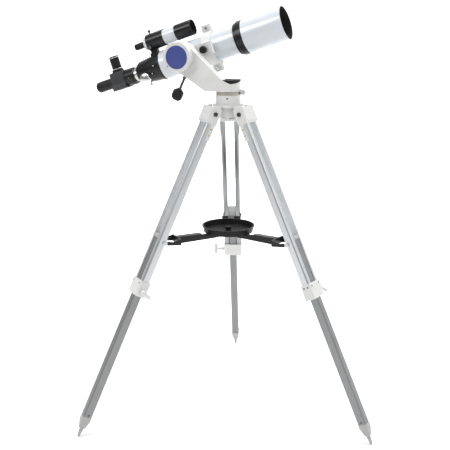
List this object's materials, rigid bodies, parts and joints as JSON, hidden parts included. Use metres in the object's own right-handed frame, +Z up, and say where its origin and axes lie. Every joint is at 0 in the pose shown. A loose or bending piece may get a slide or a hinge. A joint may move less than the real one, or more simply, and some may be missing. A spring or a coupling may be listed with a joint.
{
  "type": "telescope_on_tripod",
  "caption": "Small white refractor telescope with finder and flip-mirror diagonal on a single-arm alt-azimuth mount and a folding aluminium tripod with a black tray.",
  "frame": {"origin": "on the floor, at the middle of the footprint box of the set-up telescope; the azimuth axis stands 9.5 mm behind and 57.5 mm to the -Y side of it", "axes": "+Z up; +X the way the telescope's front points, with the tube raised 18.5 degrees; the arm with the blue altitude cap is on the -Y side of the tube"},
  "size_m": [0.9859, 0.8715, 1.2585],
  "materials": {
    "white_paint": "semi-gloss",
    "tube_paint": "gloss",
    "black_paint": "satin",
    "grey_paint": "satin",
    "black_plastic": "matte",
    "rail_aluminium": "anodised satin",
    "leg_aluminium": "anodised satin",
    "foot_plastic": "matte",
    "steel": "satin",
    "dark_steel": "oxide black",
    "chrome": "polished",
    "blue_cap": "gloss",
    "lens_glass": "coated",
    "mirror_glass": "polished"
  },
  "bodies": {
    "tripod_head": {"tripod_hub": "white_paint", "center_bolt": "steel", "head_screws": "dark_steel", "azimuth_base": "white_paint", "azimuth_wheel": "steel"},
    "spreader": {"spreader_hub": "black_plastic", "tray": "black_plastic"},
    "tray_handle": {"tray_knob": "black_plastic"},
    "arm": {"mount_arm": "white_paint", "azimuth_cap": "black_plastic", "altitude_cap": "blue_cap"},
    "azimuth_screw": {"azimuth_worm": "steel"},
    "altitude_handle": {"altitude_worm": "dark_steel", "altitude_knob": "black_plastic"},
    "cradle": {"altitude_shaft": "steel", "saddle": "white_paint"},
    "saddle_handle": {"saddle_knob": "black_plastic"},
    "saddle_stop": {"safety_screw": "steel"},
    "tube": {"tube_ring_near": "white_paint", "tube_ring_far": "white_paint", "tube_screws": "steel", "main_tube": "tube_paint", "lens_cell": "black_paint", "objective_lens": "lens_glass", "dew_shield": "tube_paint", "focuser_body": "black_paint", "finder_bracket": "black_paint", "finder_tube": "tube_paint", "finder_hood": "black_paint", "finder_screws": "dark_steel"},
    "drawtube_group": {"drawtube": "steel", "drawtube_adapter": "black_paint", "flip_box": "grey_paint", "eyepiece_top": "black_plastic", "eyepiece_rear": "black_plastic"},
    "focus_handle": {"focus_knobs": "chrome"},
    "focus_lock": {"focus_lock_screw": "steel"},
    "mirror": {"flip_mirror": "mirror_glass"},
    "finder_ocular": {"finder_eyepiece": "black_plastic"},
    "leg_rear": {"leg_bracket_rear": "white_paint", "leg_rails_rear": "rail_aluminium", "leg_clamp_rear": "white_paint"},
    "lower_rear": {"lower_leg_rear": "leg_aluminium", "leg_ends_rear": "foot_plastic"},
    "clamp_handle_rear": {"clamp_knob_rear": "white_paint"},
    "spreader_rear": {"spreader_arm_rear": "black_paint"},
    "leg_left": {"leg_bracket_left": "white_paint", "leg_rails_left": "rail_aluminium", "leg_clamp_left": "white_paint"},
    "lower_left": {"lower_leg_left": "leg_aluminium", "leg_ends_left": "foot_plastic"},
    "clamp_handle_left": {"clamp_knob_left": "white_paint"},
    "spreader_left": {"spreader_arm_left": "black_paint"},
    "leg_right": {"leg_bracket_right": "white_paint", "leg_rails_right": "rail_aluminium", "leg_clamp_right": "white_paint"},
    "lower_right": {"lower_leg_right": "leg_aluminium", "leg_ends_right": "foot_plastic"},
    "clamp_handle_right": {"clamp_knob_right": "white_paint"},
    "spreader_right": {"spreader_arm_right": "black_paint"}
  },
  "joints": [
    {"name": "leg_fold_rear", "type": "hinge", "parent": "tripod_head", "child": "leg_rear", "pos_m": [-0.02617, -0.00299, 0.953], "axis": [-0.9563, -0.2924, 0], "range_deg": [0, 12]},
    {"name": "leg_slide_rear", "type": "slide", "parent": "leg_rear", "child": "lower_rear", "axis": [-0.1263, 0.4132, -0.9018], "range_m": [-0.33, 0.06]},
    {"name": "clamp_turn_rear", "type": "hinge", "parent": "leg_rear", "child": "clamp_handle_rear", "pos_m": [-0.15517, 0.21376, 0.44166], "axis": [-0.9563, -0.2924, 0], "range_deg": [-180, 180]},
    {"name": "leg_fold_left", "type": "hinge", "parent": "tripod_head", "child": "leg_left", "pos_m": [-0.04837, -0.09919, 0.953], "axis": [0.7314, -0.682, 0], "range_deg": [0, 12]},
    {"name": "leg_slide_left", "type": "slide", "parent": "leg_left", "child": "lower_left", "axis": [-0.2947, -0.316, -0.9018], "range_m": [-0.33, 0.06]},
    {"name": "clamp_turn_left", "type": "hinge", "parent": "leg_left", "child": "clamp_handle_left", "pos_m": [-0.17158, -0.31928, 0.44166], "axis": [0.7314, -0.682, 0], "range_deg": [-180, 180]},
    {"name": "leg_fold_right", "type": "hinge", "parent": "tripod_head", "child": "leg_right", "pos_m": [0.04604, -0.07032, 0.953], "axis": [0.225, 0.9744, 0], "range_deg": [0, 12]},
    {"name": "leg_slide_right", "type": "slide", "parent": "leg_right", "child": "lower_right", "axis": [0.421, -0.0972, -0.9018], "range_m": [-0.33, 0.06]},
    {"name": "clamp_turn_right", "type": "hinge", "parent": "leg_right", "child": "clamp_handle_right", "pos_m": [0.29825, -0.06697, 0.44166], "axis": [0.225, 0.9744, 0], "range_deg": [-180, 180]},
    {"name": "tray_lift", "type": "slide", "parent": "tripod_head", "child": "spreader", "axis": [0, 0, 1], "range_m": [0, 0.15]},
    {"name": "spreader_fold_rear", "type": "hinge", "parent": "spreader", "child": "spreader_rear", "pos_m": [-0.0171, -0.03264, 0.5795], "axis": [-0.9563, -0.2924, 0], "range_deg": [0, 57]},
    {"name": "spreader_fold_left", "type": "hinge", "parent": "spreader", "child": "spreader_left", "pos_m": [-0.02723, -0.07651, 0.5795], "axis": [0.7314, -0.682, 0], "range_deg": [0, 57]},
    {"name": "spreader_fold_right", "type": "hinge", "parent": "spreader", "child": "spreader_right", "pos_m": [0.01583, -0.06335, 0.5795], "axis": [0.225, 0.9744, 0], "range_deg": [0, 57]},
    {"name": "tray_knob_turn", "type": "hinge", "parent": "spreader", "child": "tray_handle", "pos_m": [-0.0095, -0.0575, 0.597], "axis": [0, 0, 1], "range_deg": [-180, 180]},
    {"name": "azimuth", "type": "hinge", "parent": "tripod_head", "child": "arm", "pos_m": [-0.0095, -0.0575, 1.016], "axis": [0, 0, 1], "continuous": true},
    {"name": "azimuth_worm_turn", "type": "hinge", "parent": "arm", "child": "azimuth_screw", "pos_m": [0.03147, -0.04259, 1.0135], "axis": [0.342, -0.9397, 0], "continuous": true},
    {"name": "altitude_knob_turn", "type": "hinge", "parent": "arm", "child": "altitude_handle", "pos_m": [-0.11764, -0.0805, 1.0978], "axis": [0.4305, 0, 0.9026], "continuous": true},
    {"name": "altitude", "type": "hinge", "parent": "arm", "child": "cradle", "pos_m": [-0.1495, -0.0575, 1.113], "axis": [0, -1, 0], "range_deg": [-33.5, 60]},
    {"name": "saddle_knob_turn", "type": "hinge", "parent": "cradle", "child": "saddle_handle", "pos_m": [-0.09165, -0.0475, 1.13236], "axis": [0, 1, 0], "range_deg": [-180, 180]},
    {"name": "safety_screw_turn", "type": "hinge", "parent": "cradle", "child": "saddle_stop", "pos_m": [-0.11505, -0.0475, 1.12664], "axis": [0, 1, 0], "range_deg": [-180, 180]},
    {"name": "tube_balance", "type": "slide", "parent": "cradle", "child": "tube", "axis": [0.9483, 0, 0.3173], "range_m": [-0.015, 0.015]},
    {"name": "focus", "type": "slide", "parent": "tube", "child": "drawtube_group", "axis": [-0.9483, 0, -0.3173], "range_m": [-0.012, 0.04]},
    {"name": "focus_knob_turn", "type": "hinge", "parent": "tube", "child": "focus_handle", "pos_m": [-0.29765, 0.0275, 1.03891], "axis": [0, -1, 0], "range_deg": [-255, 840]},
    {"name": "focus_lock_turn", "type": "hinge", "parent": "tube", "child": "focus_lock", "pos_m": [-0.30039, 0.0275, 1.02033], "axis": [-0.3173, 0, 0.9483], "range_deg": [-180, 180]},
    {"name": "mirror_flip", "type": "hinge", "parent": "drawtube_group", "child": "mirror", "pos_m": [-0.42659, 0.0275, 1.0398], "axis": [0, -1, 0], "range_deg": [0, 45]},
    {"name": "finder_eyepiece_turn", "type": "hinge", "parent": "tube", "child": "finder_ocular", "pos_m": [-0.3312, 0.0275, 1.13604], "axis": [0.9483, 0, 0.3173], "range_deg": [-180, 180]}
  ],
  "couplings": [
    {"joint": "leg_fold_left", "follows": "leg_fold_rear", "ratio": 1},
    {"joint": "leg_fold_right", "follows": "leg_fold_rear", "ratio": 1},
    {"joint": "tray_lift", "follows": "leg_fold_rear", "m_per_rad": 0.697},
    {"joint": "spreader_fold_rear", "follows": "leg_fold_rear", "ratio": 4.7},
    {"joint": "spreader_fold_left", "follows": "leg_fold_rear", "ratio": 4.7},
    {"joint": "spreader_fold_right", "follows": "leg_fold_rear", "ratio": 4.7},
    {"joint": "focus_knob_turn", "follows": "focus", "rad_per_m": 363.6}
  ]
}
